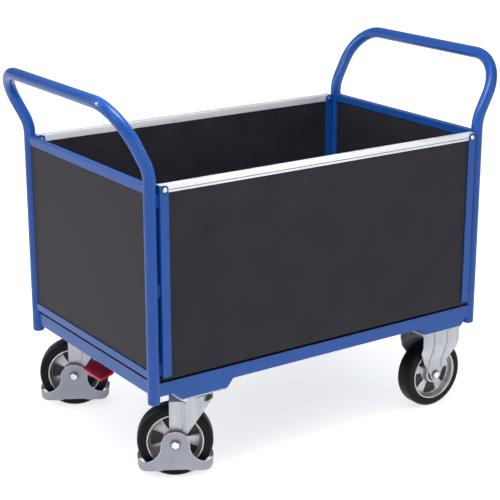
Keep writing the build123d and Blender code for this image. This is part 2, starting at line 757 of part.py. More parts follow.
for face, sy in (("front", -1), ("rear", 1)):
    swivel = swivel_place(sy)
    name = "left_" + face
    save(name + "_top_plate", [Pos(-castor_left_x, sy * castor_y, 0) * swivel_top_plate()])
    save(name + "_fork", [swivel * swivel_fork()])
    save(name + "_foot_guard", [swivel * foot_guard()])
    save(name + "_axle_bolt", [swivel * axle_bolt(guard_half)])
    save(name + "_axle_nut", [swivel * axle_nut(guard_half)])
    save(name + "_brake_plunger", [brake_plunger(sy)])
    save("right_" + face + "_bracket", [fixed_place(sy) * fixed_bracket()])
    for wheel, place, phase in ((name, swivel, swivel_spoke_phase),
                                ("right_" + face, fixed_place(sy), fixed_spoke_phase)):
        save(wheel + "_tyre", [place * tyre()])
        save(wheel + "_rim", [place * rim(phase)])
        save(wheel + "_bearings", [place * bearings()])
save("right_axle_bolts", [fixed_place(sy) * axle_bolt(leg_outer) for sy in (-1, 1)])
save("right_axle_nuts", [fixed_place(sy) * axle_nut(leg_outer) for sy in (-1, 1)])

save("brake_shaft", [brake_shaft()])
save("brake_shaft_brackets", brake_brackets())
save("brake_arm", [brake_arm()])
save("brake_pedal", [brake_pedal()])
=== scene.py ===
import bpy
import bmesh
import json
import math
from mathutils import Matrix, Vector


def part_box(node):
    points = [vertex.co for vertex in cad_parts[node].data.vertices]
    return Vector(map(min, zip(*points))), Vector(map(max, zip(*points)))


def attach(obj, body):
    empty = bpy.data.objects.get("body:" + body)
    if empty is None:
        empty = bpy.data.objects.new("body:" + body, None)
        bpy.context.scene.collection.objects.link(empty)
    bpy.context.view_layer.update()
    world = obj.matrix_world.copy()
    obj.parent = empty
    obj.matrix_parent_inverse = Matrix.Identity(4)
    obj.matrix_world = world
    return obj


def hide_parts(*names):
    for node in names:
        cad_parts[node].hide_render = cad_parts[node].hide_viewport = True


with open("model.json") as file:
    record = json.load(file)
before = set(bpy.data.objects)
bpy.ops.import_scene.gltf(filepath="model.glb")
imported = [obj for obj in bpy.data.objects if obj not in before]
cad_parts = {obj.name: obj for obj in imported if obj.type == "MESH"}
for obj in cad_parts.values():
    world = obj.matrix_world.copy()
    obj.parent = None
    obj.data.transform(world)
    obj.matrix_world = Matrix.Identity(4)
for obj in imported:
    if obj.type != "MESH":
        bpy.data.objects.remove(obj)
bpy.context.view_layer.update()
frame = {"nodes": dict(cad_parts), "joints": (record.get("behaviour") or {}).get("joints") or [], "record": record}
nodes = frame["nodes"]
print("frame loaded:", len(nodes), "nodes")

ends = ("left", "right")
faces = ("front", "rear")
mirrorMerge = 0.00002


# small helpers

def deselectAll():
    if bpy.context.mode != "OBJECT":
        bpy.ops.object.mode_set(mode="OBJECT")
    bpy.ops.object.select_all(action="DESELECT")


def pick(piece):
    deselectAll()
    piece.select_set(True)
    bpy.context.view_layer.objects.active = piece


def named(name):
    piece = bpy.context.view_layer.objects.active
    piece.name = name
    piece.data.name = name
    return piece


def selectFaces(test):
    # test gets each face's centre and normal
    mesh = bmesh.from_edit_mesh(bpy.context.object.data)
    bpy.ops.mesh.select_all(action="DESELECT")
    bpy.ops.mesh.select_mode(type="FACE")
    for face in mesh.faces:
        face.select = test(face.calc_center_median(), face.normal)
    mesh.select_flush_mode()
    bmesh.update_edit_mesh(bpy.context.object.data)


def selectEdges(test):
    # test gets each edge's two ends
    mesh = bmesh.from_edit_mesh(bpy.context.object.data)
    bpy.ops.mesh.select_all(action="DESELECT")
    bpy.ops.mesh.select_mode(type="EDGE")
    for edge in mesh.edges:
        edge.select = test(edge.verts[0].co, edge.verts[1].co)
    mesh.select_flush_mode()
    bmesh.update_edit_mesh(bpy.context.object.data)


def useModifier(piece, kind, **settings):
    pick(piece)
    modifier = piece.modifiers.new(kind.title(), kind)
    for key, value in settings.items():
        setattr(modifier, key, value)
    bpy.ops.object.modifier_apply(modifier=modifier.name)


def softenEdges(piece, width, segments, angle):
    useModifier(piece, "BEVEL", width=width, segments=segments, limit_method="ANGLE",
                angle_limit=math.radians(angle))


def cleanUp(piece, angle=32):
    # doubles merged, normals outward, soft shading with crisp corners
    pick(piece)
    bpy.ops.object.mode_set(mode="EDIT")
    bpy.ops.mesh.select_all(action="SELECT")
    bpy.ops.mesh.remove_doubles(threshold=0.00001)
    bpy.ops.mesh.normals_make_consistent(inside=False)
    bpy.ops.object.mode_set(mode="OBJECT")
    bpy.ops.object.shade_smooth_by_angle(angle=math.radians(angle))


def settle(piece):
    # place and turn go into the mesh, so the object sits at the origin
    pick(piece)
    bpy.ops.object.transform_apply(location=True, rotation=True, scale=True)


def copyOf(piece, name, place, turn=0.0):
    twin = piece.copy()
    twin.data = piece.data.copy()
    twin.name = twin.data.name = name
    bpy.context.scene.collection.objects.link(twin)
    twin.location = place
    twin.rotation_euler = (0, 0, turn)
    settle(twin)
    return twin


def joined(pieces, name):
    deselectAll()
    for piece in pieces:
        piece.select_set(True)
    bpy.context.view_layer.objects.active = pieces[0]
    bpy.ops.object.join()
    return named(name)


def paint(piece, material):
    piece.data.materials.clear()
    piece.data.materials.append(material)
    return piece


def finishPiece(piece, material, body, replaces=()):
    # material is None when the piece already carries its own
    if material:
        paint(piece, material)
    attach(piece, body)
    if replaces:
        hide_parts(*replaces)
    return piece


def turned(profile, segments, openCentre=True):
    # a half profile turned about Y, from Y = 0 outward; each step is (y, radius)
    y, radius = profile[0]
    deselectAll()
    bpy.ops.mesh.primitive_circle_add(vertices=segments, radius=radius, fill_type="NGON",
                                      location=(0, y, 0), rotation=(-math.pi / 2, 0, 0))
    bpy.ops.object.transform_apply(location=True, rotation=True, scale=True)
    bpy.ops.object.mode_set(mode="EDIT")
    bpy.ops.mesh.select_all(action="SELECT")
    for nextY, nextRadius in profile[1:]:
        bpy.ops.mesh.extrude_region()
        bpy.ops.transform.translate(value=(0, nextY - y, 0))
        share = nextRadius / radius
        bpy.ops.transform.resize(value=(share, 1, share), center_override=(0, nextY, 0))
        y, radius = nextY, nextRadius
    if openCentre:
        bpy.ops.mesh.delete(type="FACE")
    return bpy.context.object


def turnedSolid(profile, segments):
    solid = turned(profile, segments, openCentre=False)
    bpy.ops.object.mode_set(mode="OBJECT")
    return solid


def block(size, middle):
    deselectAll()
    bpy.ops.mesh.primitive_cube_add(size=1, location=middle, scale=size)
    piece = bpy.context.object
    settle(piece)
    return piece


def axleTurn(axis):
    # turn about Z that brings a piece's own Y onto the axle
    return math.atan2(-axis[0], axis[1])


def middleFace(centre, normal):
    return abs(centre.y) < 1e-6 and abs(normal.y) > 0.9


def mirrorHalf(piece):
    # the start face at Y = 0 goes, then the other half is mirrored on
    bpy.ops.object.mode_set(mode="EDIT")
    selectFaces(middleFace)
    bpy.ops.mesh.delete(type="FACE")
    bpy.ops.object.mode_set(mode="OBJECT")
    useModifier(piece, "MIRROR", use_axis=(False, True, False), use_clip=True,
                merge_threshold=mirrorMerge)


# materials, one for each slot and a few for details

def newMaterial(name, **sockets):
    material = bpy.data.materials.new(name)
    material.use_nodes = True
    shader = material.node_tree.nodes["Principled BSDF"]
    for socket, value in sockets.items():
        shader.inputs[socket.replace("_", " ")].default_value = value
    return material, material.node_tree, shader


def noiseNode(tree, scale, detail=3.0, roughness=0.5, stretch=(1, 1, 1)):
    coords = tree.nodes.new("ShaderNodeTexCoord")
    mapping = tree.nodes.new("ShaderNodeMapping")
    mapping.inputs["Scale"].default_value = stretch
    noise = tree.nodes.new("ShaderNodeTexNoise")
    noise.inputs["Scale"].default_value = scale
    noise.inputs["Detail"].default_value = detail
    noise.inputs["Roughness"].default_value = roughness
    tree.links.new(coords.outputs["Object"], mapping.inputs["Vector"])
    tree.links.new(mapping.outputs["Vector"], noise.inputs["Vector"])
    return noise


def rampNode(tree, source, stops):
    ramp = tree.nodes.new("ShaderNodeValToRGB")
    while len(ramp.color_ramp.elements) < len(stops):
        ramp.color_ramp.elements.new(0.5)
    for element, (place, colour) in zip(ramp.color_ramp.elements, stops):
        element.position = place
        element.color = (*colour, 1)
    tree.links.new(source, ramp.inputs["Fac"])
    return ramp


def rangeNode(tree, source, low, high, fromLow=0.3, fromHigh=0.7):
    spread = tree.nodes.new("ShaderNodeMapRange")
    spread.inputs["From Min"].default_value = fromLow
    spread.inputs["From Max"].default_value = fromHigh
    spread.inputs["To Min"].default_value = low
    spread.inputs["To Max"].default_value = high
    tree.links.new(source, spread.inputs["Value"])
    return spread


def bumpNode(tree, shader, source, strength, distance):
    bump = tree.nodes.new("ShaderNodeBump")
    bump.inputs["Strength"].default_value = strength
    bump.inputs["Distance"].default_value = distance
    tree.links.new(source, bump.inputs["Height"])
    tree.links.new(bump.outputs["Normal"], shader.inputs["Normal"])


def mottled(name, dark, light, scale, rough, bump, stretch=(1, 1, 1), **sockets):
    # a finish whose colour and roughness wander a little, with a fine bump;
    # rough is its lowest and highest roughness, bump its scale, strength and depth
    material, tree, shader = newMaterial(name, **sockets)
    patch = noiseNode(tree, scale, 4, 0.6, stretch)
    colour = rampNode(tree, patch.outputs["Fac"], [(0.3, dark), (0.7, light)])
    tree.links.new(colour.outputs["Color"], shader.inputs["Base Color"])
    sheen = rangeNode(tree, patch.outputs["Fac"], *rough)
    tree.links.new(sheen.outputs["Result"], shader.inputs["Roughness"])
    grainScale, strength, depth = bump
    grain = noiseNode(tree, grainScale, 2, 0.5, stretch)
    bumpNode(tree, shader, grain.outputs["Fac"], strength, depth)
    return material


powderCoat = mottled(
    "bluePowderCoat", (0.006, 0.062, 0.290), (0.009, 0.076, 0.330), scale=6,
    rough=(0.30, 0.40), bump=(700, 0.08, 0.0004),
    Coat_Weight=0.35, Coat_Roughness=0.05, Specular_IOR_Level=0.12)
filmFacedBoard = mottled(
    "filmFacedBoard", (0.018, 0.017, 0.023), (0.026, 0.025, 0.033), scale=9,
    rough=(0.40, 0.52), bump=(420, 0.12, 0.0004), Specular_IOR_Level=0.10)
deckBoardFace = mottled(
    "deckBoardFace", (0.012, 0.010, 0.010), (0.022, 0.018, 0.017), scale=30,
    rough=(0.5, 0.65), bump=(260, 0.5, 0.0008), Specular_IOR_Level=0.3)
brightZinc = mottled(
    "brightZinc", (0.62, 0.64, 0.67), (0.76, 0.78, 0.81), scale=40,
    rough=(0.24, 0.38), bump=(300, 0.08, 0.0003), stretch=(0.1, 1, 1), Metallic=0.2)
pressedZinc = mottled(
    "pressedZinc", (0.34, 0.36, 0.39), (0.46, 0.475, 0.505), scale=60,
    rough=(0.24, 0.42), bump=(500, 0.10, 0.0003), stretch=(1, 1, 0.12), Metallic=0.6)
tyreRubber = mottled(
    "tyreRubber", (0.0035, 0.0035, 0.0042), (0.0060, 0.0060, 0.0072), scale=25,
    rough=(0.36, 0.48), bump=(650, 0.25, 0.0004), Specular_IOR_Level=0.12)
castAluminium = mottled(
    "castAluminium", (0.44, 0.41, 0.44), (0.58, 0.545, 0.575), scale=60,
    rough=(0.28, 0.40), bump=(520, 0.18, 0.0004), Metallic=0.7)
# dark floors of the rims' spoke pockets: painted shade, standing for the shadow inside the pockets
pocketShade = mottled(
    "castPocketPaintedShade", (0.030, 0.022, 0.022), (0.055, 0.045, 0.045), scale=60,
    rough=(0.5, 0.6), bump=(520, 0.25, 0.0004), Metallic=0.3)
guardPlastic = mottled(
    "guardPlastic", (0.310, 0.325, 0.375), (0.350, 0.366, 0.415), scale=20,
    rough=(0.42, 0.52), bump=(900, 0.14, 0.0003), Specular_IOR_Level=0.2)
# lighter grey on the guard's rounded top lip: a painted highlight along the edge
guardLipHighlight = mottled(
    "guardLipPaintedHighlight", (0.54, 0.55, 0.58), (0.62, 0.63, 0.66), scale=20,
    rough=(0.36, 0.46), bump=(900, 0.14, 0.0003), Specular_IOR_Level=0.3)
zincFastener = mottled(
    "zincFastener", (0.54, 0.55, 0.58), (0.70, 0.71, 0.74), scale=90,
    rough=(0.24, 0.36), bump=(600, 0.08, 0.0002), Metallic=1.0)
bearingSeal = mottled(
    "bearingSeal", (0.02, 0.02, 0.022), (0.04, 0.04, 0.043), scale=60,
    rough=(0.35, 0.5), bump=(500, 0.1, 0.0002), Metallic=0.4)
brakeBlack = mottled(
    "brakeBlack", (0.006, 0.006, 0.007), (0.012, 0.012, 0.014), scale=30,
    rough=(0.35, 0.5), bump=(400, 0.15, 0.0003))
pedalRed = mottled(
    "pedalRed", (0.44, 0.003, 0.030), (0.56, 0.005, 0.040), scale=40,
    rough=(0.28, 0.38), bump=(500, 0.12, 0.0003), Specular_IOR_Level=0.3)
# dark zinc as painted shade: the dark axle bolt washers and the dark line of the cap rail beads
zincShade = mottled(
    "zincShade", (0.12, 0.12, 0.13), (0.20, 0.20, 0.215), scale=90,
    rough=(0.36, 0.5), bump=(600, 0.08, 0.0002), Metallic=0.8)
# darker red for the pedal tray's floor between the ribs: painted shade in the grooves
pedalGroovePaintedShade = mottled(
    "pedalGroovePaintedShade", (0.050, 0.001, 0.006), (0.090, 0.002, 0.010), scale=40,
    rough=(0.5, 0.6), bump=(500, 0.2, 0.0003), Specular_IOR_Level=0.1)
# near-black standing for shade: the rings under the cap rail bolts and the strips along the rail tops are painted
# shade
paintedShadeBlack = mottled(
    "paintedShadeBlack", (0.006, 0.006, 0.007), (0.012, 0.012, 0.014), scale=30,
    rough=(0.5, 0.6), bump=(400, 0.15, 0.0003))

slotMaterials = {
    "blue_powder_coat": powderCoat, "dark_board": filmFacedBoard, "deck_board": deckBoardFace,
    "bright_zinc": brightZinc, "pressed_zinc": pressedZinc, "tyre_rubber": tyreRubber,
    "rim_aluminium": castAluminium, "guard_plastic": guardPlastic, "zinc_fasteners": zincFastener,
    "bearing_steel": bearingSeal, "brake_steel": brakeBlack, "pedal_red": pedalRed,
}
for subpart in frame["record"]["subparts"]:
    paint(nodes[subpart["node"]], slotMaterials[subpart["material_slot"]])
print("materials on every node")


# wheels: one tyre and two rims modelled, each with its own spoke phase, then copied

joints = {joint["name"]: joint for joint in frame["joints"]}
wheel = {
    # half profiles from the middle outward, each step (y, radius)
    "tyreSegments": 128,
    "tyre": [(0, 0.1), (0.012, 0.1), (0.0162, 0.0996), (0.0196, 0.0984), (0.0222, 0.0962),
             (0.0240, 0.0934), (0.0249, 0.0900), (0.0250, 0.0885), (0.0245, 0.0881),
             (0.0245, 0.0873), (0.0250, 0.0869), (0.0250, 0.0800), (0.0247, 0.0776),
             (0.0240, 0.0758), (0.0230, 0.0745), (0.0230, 0.0731), (0, 0.0731)],
    "rimSegments": 100,
    "rim": [(0, 0.073), (0.025, 0.073), (0.025, 0.0748), (0.0258, 0.075), (0.0266, 0.0742),
            (0.0266, 0.0722), (0.0256, 0.0712), (0.0180, 0.0697), (0.0100, 0.0680),
            (0.0075, 0.0668), (0.0065, 0.0650), (0.0065, 0.0310), (0.0078, 0.0290),
            (0.0105, 0.0278), (0.0225, 0.0270), (0.0245, 0.0262), (0.0250, 0.0250),
            (0.0250, 0.0222), (0.0240, 0.0214), (0.0215, 0.0206), (0, 0.0205)],
    "webY": 0.0065, "pocketY": 0.0012, "webOuter": 0.0650, "webInner": 0.0310,
    "spokes": 5, "windowHalfAngle": 21.0, "webBand": 0.004, "edgeRound": 0.0007,
    "spokeInset": 0.0035, "spokeDish": 0.0018,
    "leftPhase": -5.0, "rightPhase": 18.0,
}


def makeTyre():
    tyre = turned(wheel["tyre"], wheel["tyreSegments"])
    named("tyreModel")
    mirrorHalf(tyre)
    cleanUp(tyre, 28)
    return tyre


def inWindow(x, z, phase):
    share = 360 / wheel["spokes"]
    angle = (math.degrees(math.atan2(z, x)) - phase) % share
    return abs(angle - share / 2) < wheel["windowHalfAngle"]


def makeRim(phase):
    rim = turned(wheel["rim"], wheel["rimSegments"])
    named("rimModel")
    middle = (wheel["webOuter"] + wheel["webInner"]) / 2

    def onWeb(centre):
        radius = math.hypot(centre.x, centre.z)
        return abs(centre.y - wheel["webY"]) < 1e-5 and abs(radius - middle) < wheel["webBand"]

    selectFaces(lambda c, n: onWeb(c) and not inWindow(c.x, c.z, phase))
    bpy.ops.mesh.inset(thickness=wheel["spokeInset"], depth=-wheel["spokeDish"])
    selectFaces(lambda c, n: onWeb(c) and inWindow(c.x, c.z, phase))
    bpy.ops.mesh.extrude_region()
    bpy.ops.transform.translate(value=(0, wheel["pocketY"] - wheel["webY"], 0))
    mirrorHalf(rim)
    softenEdges(rim, wheel["edgeRound"], 2, 38)
    cleanUp(rim, 35)
    rim.data.materials.append(castAluminium)
    rim.data.materials.append(pocketShade)
    # the pocket floors take the dark material: painted shade in the recesses
    for polygon in rim.data.polygons:
        if abs(abs(polygon.center.y) - wheel["pocketY"]) < 1e-4:
            polygon.material_index = 1
    return rim


tyreModel = makeTyre()
for end in ends:
    rimModel = makeRim(wheel[end + "Phase"])
    for face in faces:
        name = end + "_" + face
        low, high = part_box(name + "_tyre")
        centre = (low + high) / 2
        turn = axleTurn(joints[name + "_wheel_spin"]["axis"])
        tyre = copyOf(tyreModel, name + "TyreTread", centre, turn)
        finishPiece(tyre, tyreRubber, name + "_wheel", [name + "_tyre"])
        rim = copyOf(rimModel, name + "SpokedRim", centre, turn)
        finishPiece(rim, None, name + "_wheel", [name + "_rim"])
    bpy.data.objects.remove(rimModel)
bpy.data.objects.remove(tyreModel)
print("wheels done")


# foot guards and axle bolts

guard = {
    "halfLength": 0.0989, "halfWidth": 0.0439, "wall": 0.0027, "planCorner": 0.032,
    "bottom": 0.025, "skirtTop": 0.052, "footRadius": 0.014,
    "lobeZ": 0.097, "lobeRadius": 0.037,
    "biteX": 0.0809, "biteZ": 0.094, "biteRadius": 0.044,
    "notchHalf": 0.037, "notchHeight": 0.003, "notchSlope": 0.006,
    "lip": 0.0011, "bossRadius": 0.013, "bossInner": 0.0313, "bossRound": 0.0006,
    "edgeRound": 0.0005, "endStep": 0.0065, "rows": 8,
}


def guardPlan(x):
    # half width of the skirt at x
    corner = guard["planCorner"]
    over = max(0.0, x - (guard["halfLength"] - corner))
    return guard["halfWidth"] - corner + math.sqrt(corner ** 2 - over ** 2)


def guardTop():
    # a quarter of the top edge: over the lobe, down the bite, along the skirt to its end's middle
    # the bite's arc touches the lobe's, on the line between their centres
    lobeEnd = math.atan2(guard["biteZ"] - guard["lobeZ"], guard["biteX"])
    rise = guard["biteZ"] - guard["skirtTop"]
    biteStart = math.pi + lobeEnd
    biteEnd = 2 * math.pi - math.asin(rise / guard["biteRadius"])
    line = []
    for k in range(13):
        a = math.pi / 2 + (lobeEnd - math.pi / 2) * k / 12
        line.append((guard["lobeRadius"] * math.cos(a),
                     guard["lobeZ"] + guard["lobeRadius"] * math.sin(a)))
    for k in range(1, 19):
        a = biteStart + (biteEnd - biteStart) * k / 18
        line.append((guard["biteX"] + guard["biteRadius"] * math.cos(a),
                     guard["biteZ"] + guard["biteRadius"] * math.sin(a)))
    points = [(x, -guardPlan(x), z) for x, z in line]
    cornerX = guard["halfLength"] - guard["planCorner"]
    start = math.acos((line[-1][0] - cornerX) / guard["planCorner"])
    for k in range(1, 6):
        a = start * (1 - k / 5)
        points.append((cornerX + guard["planCorner"] * math.cos(a),
                       -(guard["halfWidth"] + guard["planCorner"] * (math.sin(a) - 1)),
                       guard["skirtTop"]))
    for y in (-guard["endStep"], 0.0):
        points.append((guard["halfLength"], y, guard["skirtTop"]))
    return points


def guardFoot(x):
    # height of the skirt's lower edge at x
    if x < guard["notchHalf"]:
        share = min(1.0, (guard["notchHalf"] - x) / guard["notchSlope"])
        return guard["bottom"] + guard["notchHeight"] * share
    over = max(0.0, x - (guard["halfLength"] - guard["footRadius"]))
    return guard["bottom"] + guard["footRadius"] - math.sqrt(guard["footRadius"] ** 2 - over ** 2)


def makeGuard():
    top = guardTop()
    rows = guard["rows"]
    deselectAll()
    bpy.ops.mesh.primitive_grid_add(x_subdivisions=len(top) - 1, y_subdivisions=rows, size=1)
    skirt = named("guardModel")
    for vertex in skirt.data.vertices:
        column = round((vertex.co.x + 0.5) * (len(top) - 1))
        row = vertex.co.y + 0.5
        x, y, z = top[column]
        low = guardFoot(x)
        vertex.co = (x, y, low + (z - low) * row)
    useModifier(skirt, "MIRROR", use_axis=(True, True, False), use_clip=True,
                merge_threshold=mirrorMerge)
    cleanUp(skirt, 35)
    useModifier(skirt, "SOLIDIFY", thickness=guard["wall"], offset=-1.0, use_even_offset=True)
    softenEdges(skirt, guard["edgeRound"], 2, 50)
    quarter = [Vector(p) for p in top]
    across = [Vector((p.x, -p.y, p.z)) for p in reversed(quarter[:-1])]
    right = quarter + across
    left = [Vector((-p.x, p.y, p.z)) for p in reversed(right[1:-1])]
    lip = beadAlong(right + left, guard["lip"], True, "guardLip")
    bosses = []
    inner, outer = guard["bossInner"], guard["halfWidth"] - guard["wall"]
    axleHeight = wheel["tyre"][0][1]
    for side in (-1, 1):
        bpy.ops.mesh.primitive_cylinder_add(
            vertices=40, radius=guard["bossRadius"], depth=outer - inner,
            location=(0, side * (inner + outer) / 2, axleHeight), rotation=(math.pi / 2, 0, 0))
        boss = bpy.context.object
        settle(boss)
        softenEdges(boss, guard["bossRound"], 2, 50)
        bosses.append(boss)
    plain = [paint(part, guardPlastic) for part in [skirt] + bosses]
    # the lip bead carries the lighter painted highlight
    whole = joined(plain + [paint(lip, guardLipHighlight)], "guardModel")
    bpy.ops.object.shade_smooth_by_angle(angle=math.radians(35))
    return whole


def beadAlong(points, radius, closed, name, smooth=2):
    # a round bead along a line of points
    deselectAll()
    mesh = bpy.data.meshes.new(name)
    edges = [(k, k + 1) for k in range(len(points) - 1)]
    if closed:
        edges.append((len(points) - 1, 0))
    mesh.from_pydata(points, edges, [])
    bead = bpy.data.objects.new(name, mesh)
    bpy.context.scene.collection.objects.link(bead)
    pick(bead)
    bpy.ops.object.convert(target="CURVE")
    bead = bpy.context.object
    bead.data.bevel_depth = radius
    bead.data.bevel_resolution = smooth
    bead.data.use_fill_caps = True
    bpy.ops.object.convert(target="MESH")
    return bpy.context.object


bolt = {
    "headRadius": 0.01097, "headHeight": 0.0075, "chamfer": 0.0012, "topShare": 0.86,
    "washerRadius": 0.0135, "washerThick": 0.0016, "washerDrop": 0.0003, "washerInset": 0.0004,
    "shankRadius": 0.006, "shankChamfer": 0.0008, "nutHeight": 0.009, "threadEnd": 0.002,
    "guardFace": 0.045, "bracketFace": 0.031,
}


def makeAxleBolt(face, name):
    # hexagon head on a washer, standing out along +Y from the face; the shank runs back through; the washer's dark
    # zinc is painted shade round the head
    headTop, washerTop = bolt["headHeight"], bolt["washerThick"]
    head = turnedSolid([(0, bolt["headRadius"]), (headTop - bolt["chamfer"], bolt["headRadius"]),
                        (headTop, bolt["headRadius"] * bolt["topShare"])], 6)
    washer = turnedSolid([(0, bolt["washerRadius"]),
                          (washerTop - bolt["washerDrop"], bolt["washerRadius"]),
                          (washerTop, bolt["washerRadius"] - bolt["washerInset"])], 40)
    length = 2 * face + bolt["nutHeight"] + bolt["threadEnd"]
    shank = turnedSolid([(-length, bolt["shankRadius"] - bolt["shankChamfer"]),
                         (-length + bolt["shankChamfer"], bolt["shankRadius"]),
                         (0, bolt["shankRadius"])], 24)
    whole = joined([paint(head, zincFastener), paint(washer, zincShade),
                    paint(shank, zincFastener)], name)
    whole.location = (0, face, 0)
    settle(whole)
    cleanUp(whole, 30)
    return whole


guardModel = makeGuard()
guardBolt = makeAxleBolt(bolt["guardFace"], "guardBoltModel")
for face in faces:
    name = "left_" + face
    axle = joints[name + "_wheel_spin"]
    turn = axleTurn(axle["axis"])
    x, y, z = axle["pos_m"]
    foot = copyOf(guardModel, name + "FootGuard", (x, y, 0), turn)
    finishPiece(foot, None, name + "_swivel", [name + "_foot_guard"])
    axleBolt = copyOf(guardBolt, name + "AxleBolt", (x, y, z), turn + math.pi)
    finishPiece(axleBolt, None, name + "_swivel", [name + "_axle_bolt"])
bpy.data.objects.remove(guardModel)
bpy.data.objects.remove(guardBolt)
bracketBolt = makeAxleBolt(bolt["bracketFace"], "bracketBoltModel")
fixedBolts = []
for face in faces:
    place = joints["right_" + face + "_wheel_spin"]["pos_m"]
    fixedBolts.append(copyOf(bracketBolt, "right" + face + "Bolt", place, math.pi))
bpy.data.objects.remove(bracketBolt)
rightBolts = joined(fixedBolts, "rightAxleBolts")
finishPiece(rightBolts, None, "chassis", ["right_axle_bolts"])
print("foot guards and axle bolts done")


# brake pedal

pedal = {
    "slope": 18.0, "start": 0.124, "length": 0.046, "width": 0.100, "bottom": 0.007, "thick": 0.008,
    "corner": 0.006, "edge": 0.0015, "rim": 0.005,
    "trayDepth": 0.0012, "trayWall": 0.0008, "grooveFrom": 0.0008,
    "ribs": 6, "ribHeight": 0.0012, "ribWidth": 0.0026, "ribSink": 0.0004, "ribRound": 0.0008,
    "ribEndGap": 0.004, "ribSpanGap": 0.005,
}


def makePedal():
    # modelled level with its hinge at the origin, then sloped and placed on the hinge
    middle = -(pedal["start"] + pedal["length"] / 2)
    padTop = pedal["bottom"] + pedal["thick"]
    block((pedal["length"], pedal["width"], pedal["thick"]),
          (middle, 0, pedal["bottom"] + pedal["thick"] / 2))
    pad = named("pedalModel")
    bpy.ops.object.mode_set(mode="EDIT")
    selectEdges(lambda a, b: abs(a.z - b.z) > pedal["thick"] / 2)
    bpy.ops.mesh.bevel(offset=pedal["corner"], segments=6, affect="EDGES")
    selectFaces(lambda c, n: n.z > 0.9)
    bpy.ops.mesh.inset(thickness=pedal["rim"], depth=0)
    bpy.ops.mesh.inset(thickness=pedal["trayWall"], depth=-pedal["trayDepth"])
    bpy.ops.object.mode_set(mode="OBJECT")
    softenEdges(pad, pedal["edge"], 3, 60)
    ribs = []
    ribLength = pedal["width"] - 2 * pedal["rim"] - pedal["ribEndGap"]
    span = pedal["length"] - 2 * pedal["rim"] - pedal["ribSpanGap"]
    for k in range(pedal["ribs"]):
        x = middle - span / 2 + span * k / (pedal["ribs"] - 1)
        rib = block((pedal["ribWidth"], ribLength, 2 * pedal["ribHeight"]),
                    (x, 0, padTop - pedal["ribSink"]))
        softenEdges(rib, pedal["ribRound"], 2, 60)
        ribs.append(rib)
    pad.data.materials.append(pedalRed)
    pad.data.materials.append(pedalGroovePaintedShade)
    # the tray floor between the ribs takes the darker red as painted shade
    for polygon in pad.data.polygons:
        if polygon.normal.z > 0.9 and polygon.center.z < padTop - pedal["grooveFrom"]:
            polygon.material_index = 1
    whole = joined([pad] + [paint(rib, pedalRed) for rib in ribs], "brakePedalPad")
    whole.rotation_euler = (0, math.radians(-pedal["slope"]), 0)
    whole.location = joints["brake_pedal_press"]["pos_m"]
    settle(whole)
    cleanUp(whole, 35)
    return whole


finishPiece(makePedal(), None, "pedal", ["brake_pedal"])
print("pedal done")


# cap rails on the long walls

capRail = {"wall": 0.0012, "round": 0.0011, "beadRadius": 0.0010, "beadDrop": 0.0125,
           "beadSink": 0.0002, "beadEndGap": 0.026}


def makeCapRail(face, side):
    # a strip folded over the wall's top edge, open below and at both ends, with a bead outside painted dark as a
    # shadow line
    low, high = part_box(face + "_cap_rail")
    size = high - low
    block(size, (high + low) / 2)
    rail = named(face + "CapRailModel")
    bpy.ops.object.mode_set(mode="EDIT")
    selectEdges(lambda a, b: abs(a.x - b.x) > size.x / 2 and min(a.z, b.z) > high.z - 1e-4)
    bpy.ops.mesh.bevel(offset=capRail["round"], segments=4, affect="EDGES")
    selectFaces(lambda c, n: n.z < -0.9)
    bpy.ops.mesh.delete(type="FACE")
    selectFaces(lambda c, n: abs(n.x) > 0.9)
    bpy.ops.mesh.delete(type="FACE")
    bpy.ops.object.mode_set(mode="OBJECT")
    useModifier(rail, "SOLIDIFY", thickness=capRail["wall"], offset=-1.0, use_even_offset=True)
    y = (low.y if side < 0 else high.y) - side * capRail["beadSink"]
    z = high.z - capRail["beadDrop"]
    gap = capRail["beadEndGap"]
    bead = beadAlong([(low.x + gap, y, z), (0, y, z), (high.x - gap, y, z)],
                     capRail["beadRadius"], False, "capBead")
    whole = joined([paint(rail, brightZinc), paint(bead, zincShade)], face + "CapRailStrip")
    cleanUp(whole, 30)
    return whole


for face, side in (("front", -1), ("rear", 1)):
    finishPiece(makeCapRail(face, side), None, "chassis", [face + "_cap_rail"])

# thin black rings between the channels and the cap rail bolts' heads: painted shade round each bolt head
capBoltShadeRing = {"radius": 0.0092, "topRadius": 0.0087, "thick": 0.0009, "edge": 0.0005,
             "boltHeadRadius": 0.0066, "faceY": 0.3394}
shadeRings = []
boltLow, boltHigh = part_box("cap_rail_bolts")
for sx in (-1, 1):
    for sy in (-1, 1):
        ring = turnedSolid([(0, capBoltShadeRing["radius"]), (capBoltShadeRing["edge"], capBoltShadeRing["radius"]),
                            (capBoltShadeRing["thick"], capBoltShadeRing["topRadius"])], 40)
        ring.location = (sx * (boltHigh.x - capBoltShadeRing["boltHeadRadius"]), sy * capBoltShadeRing["faceY"],
                         (boltLow.z + boltHigh.z) / 2)
        ring.rotation_euler = (0, 0, 0 if sy > 0 else math.pi)
        settle(ring)
        shadeRings.append(ring)
capBoltShadeRings = joined(shadeRings, "capBoltPaintedShadeRings")
cleanUp(capBoltShadeRings, 40)
finishPiece(capBoltShadeRings, paintedShadeBlack, "chassis")
print("cap rails done")


# weld beads where the crossbars meet the posts
weld = {"radius": 0.0017, "steps": 4, "sink": 0.0004, "postRadius": 0.016, "reach": 0.98}


